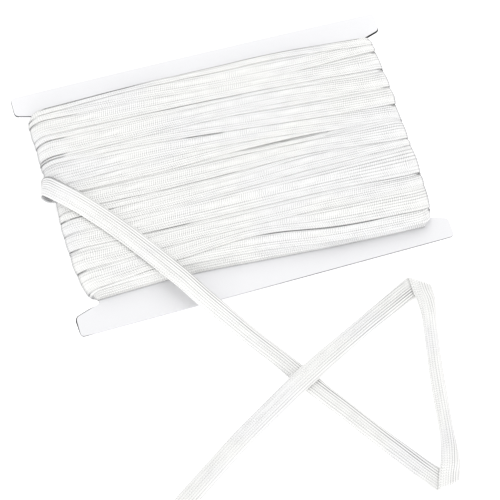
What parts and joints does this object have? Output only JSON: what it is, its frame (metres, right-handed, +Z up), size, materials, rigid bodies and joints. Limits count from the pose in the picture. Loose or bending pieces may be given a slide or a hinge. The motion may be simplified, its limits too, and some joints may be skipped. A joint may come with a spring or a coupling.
{
  "type": "flat trim tape wound on a card",
  "caption": "Flat ribbed white trim tape wound on a notched white card, with a loose end that lies folded on the surface and crosses itself.",
  "frame": {"origin": "under the middle of the card, at the height of the winding's underside, which rests on the surface", "axes": "+X along the card's long side, +Y across the card away from the loose end, +Z up"},
  "size_m": [0.1502, 0.1914, 0.0147],
  "materials": {
    "card": "matt",
    "winding": "knitted rib",
    "loose_end": "knitted rib"
  },
  "bodies": {
    "root": {"card": "card", "winding": "winding", "loose_end": "loose_end"}
  },
  "joints": []
}
